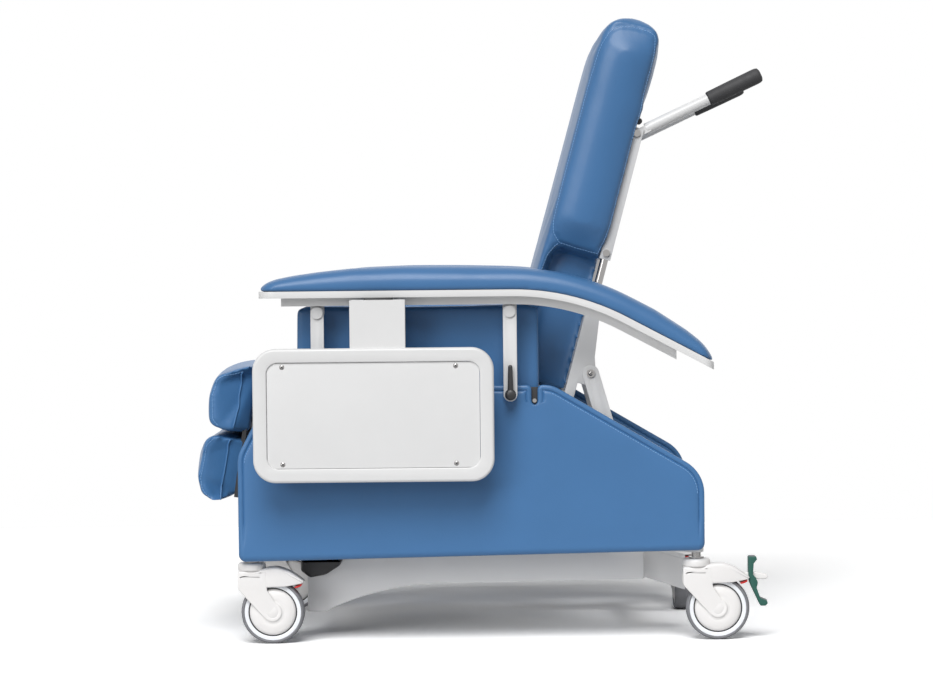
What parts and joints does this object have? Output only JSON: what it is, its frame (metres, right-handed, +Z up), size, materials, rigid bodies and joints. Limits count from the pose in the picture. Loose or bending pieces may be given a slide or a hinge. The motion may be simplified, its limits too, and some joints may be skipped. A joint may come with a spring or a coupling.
{
  "type": "clinical recliner",
  "caption": "Wheeled clinical recliner with a leaning back, folding push handles, drop armrests, extending leg rest and a fold-up side tray.",
  "frame": {"origin": "on the floor, midway between the four caster stems", "axes": "+Z up, chair faces -X, its left side is at -Y"},
  "size_m": [1.132, 0.804, 1.2313],
  "materials": {
    "blue_vinyl": "soft grained vinyl upholstery",
    "white_paint": "semi-gloss white powder coat",
    "grey_steel": "grey powder coat",
    "chrome": "polished chrome plate",
    "black_plastic": "moulded black plastic",
    "black_rubber": "ribbed soft rubber",
    "white_plastic": "moulded white nylon",
    "grey_tyre": "dark grey tread",
    "red_plastic": "moulded red plastic",
    "green_plastic": "moulded green plastic",
    "tray_plastic": "moulded tray edge",
    "tray_laminate": "flat tray board"
  },
  "bodies": {
    "frame": {"base_rails": "white_paint", "base_beams": "white_paint", "base_covers": "black_plastic", "side_frames": "grey_steel", "side_panel_left": "blue_vinyl", "side_panel_right": "blue_vinyl", "arm_panels": "blue_vinyl", "seat_frame": "grey_steel", "seat_cushion": "blue_vinyl", "legrest_guides": "black_plastic", "frame_bolts": "chrome", "caster_stems": "chrome"},
    "back": {"back_frame": "white_paint", "back_chrome": "chrome", "handle_channels": "white_paint", "handle_stops": "black_rubber", "back_cushion": "blue_vinyl"},
    "links": {"recline_links": "white_paint"},
    "crank": {"recline_crank": "grey_steel"},
    "carriage": {"legrest_carriage": "grey_steel"},
    "legrest": {"legrest_frame": "grey_steel", "legrest_upper_cushion": "blue_vinyl", "legrest_lower_cushion": "blue_vinyl"},
    "tray": {"tray_bracket": "white_paint", "tray_rim": "tray_plastic", "tray_board": "tray_laminate", "tray_screws": "chrome"},
    "handle_left": {"push_handle_left": "white_paint", "handle_grip_left": "black_rubber"},
    "post_rear_left": {"arm_post_rear_left": "white_paint"},
    "post_front_left": {"arm_post_front_left": "white_paint"},
    "arm_left": {"arm_pad_left": "blue_vinyl", "arm_trim_left": "white_paint", "tray_hinge": "black_plastic"},
    "lever_left": {"arm_lever_left": "black_plastic"},
    "handle_right": {"push_handle_right": "white_paint", "handle_grip_right": "black_rubber"},
    "post_rear_right": {"arm_post_rear_right": "white_paint"},
    "post_front_right": {"arm_post_front_right": "white_paint"},
    "arm_right": {"arm_pad_right": "blue_vinyl", "arm_trim_right": "white_paint"},
    "lever_right": {"arm_lever_right": "black_plastic"},
    "caster_front_left": {"caster_fork_front_left": "white_plastic"},
    "wheel_front_left": {"caster_wheel_front_left": "white_plastic", "caster_tyre_front_left": "grey_tyre"},
    "brake_front_left": {"caster_brake_front_left": "red_plastic"},
    "caster_front_right": {"caster_fork_front_right": "white_plastic"},
    "wheel_front_right": {"caster_wheel_front_right": "white_plastic", "caster_tyre_front_right": "grey_tyre"},
    "brake_front_right": {"caster_brake_front_right": "red_plastic"},
    "caster_rear_left": {"caster_fork_rear_left": "white_plastic"},
    "wheel_rear_left": {"caster_wheel_rear_left": "white_plastic", "caster_tyre_rear_left": "grey_tyre"},
    "brake_rear_left": {"caster_brake_rear_left": "red_plastic"},
    "pedal_left": {"caster_pedal_left": "green_plastic"},
    "caster_rear_right": {"caster_fork_rear_right": "white_plastic"},
    "wheel_rear_right": {"caster_wheel_rear_right": "white_plastic", "caster_tyre_rear_right": "grey_tyre"},
    "brake_rear_right": {"caster_brake_rear_right": "red_plastic"}
  },
  "joints": [
    {"name": "back_recline", "type": "hinge", "parent": "frame", "child": "back", "pos_m": [0.11193, 0, 0.47491], "axis": [0, 1, 0], "range_deg": [0, 50]},
    {"name": "link_pivot", "type": "hinge", "parent": "back", "child": "links", "pos_m": [0.2345, 0, 0.52396], "axis": [0, 1, 0], "range_deg": [-50, 0]},
    {"name": "crank_shaft", "type": "hinge", "parent": "frame", "child": "crank", "pos_m": [0.1632, 0, 0.29612], "axis": [0, 1, 0], "range_deg": [0, 50]},
    {"name": "legrest_slide", "type": "slide", "parent": "frame", "child": "carriage", "axis": [-1, 0, 0], "range_m": [0, 0.16]},
    {"name": "legrest_tilt", "type": "hinge", "parent": "carriage", "child": "legrest", "pos_m": [-0.435, 0, 0.425], "axis": [0, 1, 0], "range_deg": [0, 80]},
    {"name": "handle_fold_left", "type": "hinge", "parent": "back", "child": "handle_left", "pos_m": [0.33054, -0.235, 0.99713], "axis": [0, 1, 0], "range_deg": [0, 110]},
    {"name": "arm_drop_left", "type": "hinge", "parent": "frame", "child": "post_rear_left", "pos_m": [0.075, -0.3445, 0.488], "axis": [0, 1, 0], "range_deg": [0, 72]},
    {"name": "arm_front_left", "type": "hinge", "parent": "frame", "child": "post_front_left", "pos_m": [-0.3, -0.3445, 0.488], "axis": [0, 1, 0], "range_deg": [0, 72]},
    {"name": "arm_level_left", "type": "hinge", "parent": "post_rear_left", "child": "arm_left", "pos_m": [0.075, -0.3445, 0.65], "axis": [0, 1, 0], "range_deg": [-72, 0]},
    {"name": "arm_clamp_left", "type": "hinge", "parent": "frame", "child": "lever_left", "pos_m": [0.075, -0.3528, 0.488], "axis": [0, 1, 0], "range_deg": [0, 90]},
    {"name": "handle_fold_right", "type": "hinge", "parent": "back", "child": "handle_right", "pos_m": [0.33054, 0.235, 0.99713], "axis": [0, 1, 0], "range_deg": [0, 110]},
    {"name": "arm_drop_right", "type": "hinge", "parent": "frame", "child": "post_rear_right", "pos_m": [0.075, 0.3445, 0.488], "axis": [0, 1, 0], "range_deg": [0, 72]},
    {"name": "arm_front_right", "type": "hinge", "parent": "frame", "child": "post_front_right", "pos_m": [-0.3, 0.3445, 0.488], "axis": [0, 1, 0], "range_deg": [0, 72]},
    {"name": "arm_level_right", "type": "hinge", "parent": "post_rear_right", "child": "arm_right", "pos_m": [0.075, 0.3445, 0.65], "axis": [0, 1, 0], "range_deg": [-72, 0]},
    {"name": "arm_clamp_right", "type": "hinge", "parent": "frame", "child": "lever_right", "pos_m": [0.075, 0.3528, 0.488], "axis": [0, 1, 0], "range_deg": [0, 90]},
    {"name": "tray_fold", "type": "hinge", "parent": "arm_left", "child": "tray", "pos_m": [-0.179, -0.398, 0.668], "axis": [-1, 0, 0], "range_deg": [0, 90]},
    {"name": "swivel_front_left", "type": "hinge", "parent": "frame", "child": "caster_front_left", "pos_m": [-0.4375, -0.29, 0.16], "axis": [0, 0, 1], "continuous": true},
    {"name": "spin_front_left", "type": "hinge", "parent": "caster_front_left", "child": "wheel_front_left", "pos_m": [-0.3965, -0.29, 0.0625], "axis": [0, 1, 0], "continuous": true},
    {"name": "brake_front_left", "type": "hinge", "parent": "caster_front_left", "child": "brake_front_left", "pos_m": [-0.3365, -0.29, 0.11], "axis": [0, 1, 0], "range_deg": [0, 12]},
    {"name": "swivel_front_right", "type": "hinge", "parent": "frame", "child": "caster_front_right", "pos_m": [-0.4375, 0.29, 0.16], "axis": [0, 0, 1], "continuous": true},
    {"name": "spin_front_right", "type": "hinge", "parent": "caster_front_right", "child": "wheel_front_right", "pos_m": [-0.3965, 0.29, 0.0625], "axis": [0, 1, 0], "continuous": true},
    {"name": "brake_front_right", "type": "hinge", "parent": "caster_front_right", "child": "brake_front_right", "pos_m": [-0.3365, 0.29, 0.11], "axis": [0, 1, 0], "range_deg": [0, 12]},
    {"name": "swivel_rear_left", "type": "hinge", "parent": "frame", "child": "caster_rear_left", "pos_m": [0.4375, -0.29, 0.16], "axis": [0, 0, 1], "continuous": true},
    {"name": "spin_rear_left", "type": "hinge", "parent": "caster_rear_left", "child": "wheel_rear_left", "pos_m": [0.4785, -0.29, 0.0625], "axis": [0, 1, 0], "continuous": true},
    {"name": "brake_rear_left", "type": "hinge", "parent": "caster_rear_left", "child": "brake_rear_left", "pos_m": [0.5385, -0.29, 0.11], "axis": [0, 1, 0], "range_deg": [0, 12]},
    {"name": "pedal_left", "type": "hinge", "parent": "caster_rear_left", "child": "pedal_left", "pos_m": [0.5515, -0.29, 0.122], "axis": [0, 1, 0], "range_deg": [-8, 8]},
    {"name": "swivel_rear_right", "type": "hinge", "parent": "frame", "child": "caster_rear_right", "pos_m": [0.4375, 0.29, 0.16], "axis": [0, 0, 1], "continuous": true},
    {"name": "spin_rear_right", "type": "hinge", "parent": "caster_rear_right", "child": "wheel_rear_right", "pos_m": [0.4375, 0.249, 0.0625], "axis": [1, 0, 0], "continuous": true},
    {"name": "brake_rear_right", "type": "hinge", "parent": "caster_rear_right", "child": "brake_rear_right", "pos_m": [0.4375, 0.189, 0.11], "axis": [1, 0, 0], "range_deg": [0, 12]}
  ],
  "couplings": [
    {"joint": "link_pivot", "follows": "back_recline", "ratio": -1},
    {"joint": "crank_shaft", "follows": "back_recline", "ratio": 1},
    {"joint": "legrest_slide", "follows": "back_recline", "m_per_rad": 0.18335},
    {"joint": "legrest_tilt", "follows": "back_recline", "ratio": 1.6},
    {"joint": "arm_front_left", "follows": "arm_drop_left", "ratio": 1},
    {"joint": "arm_level_left", "follows": "arm_drop_left", "ratio": -1},
    {"joint": "arm_front_right", "follows": "arm_drop_right", "ratio": 1},
    {"joint": "arm_level_right", "follows": "arm_drop_right", "ratio": -1}
  ]
}
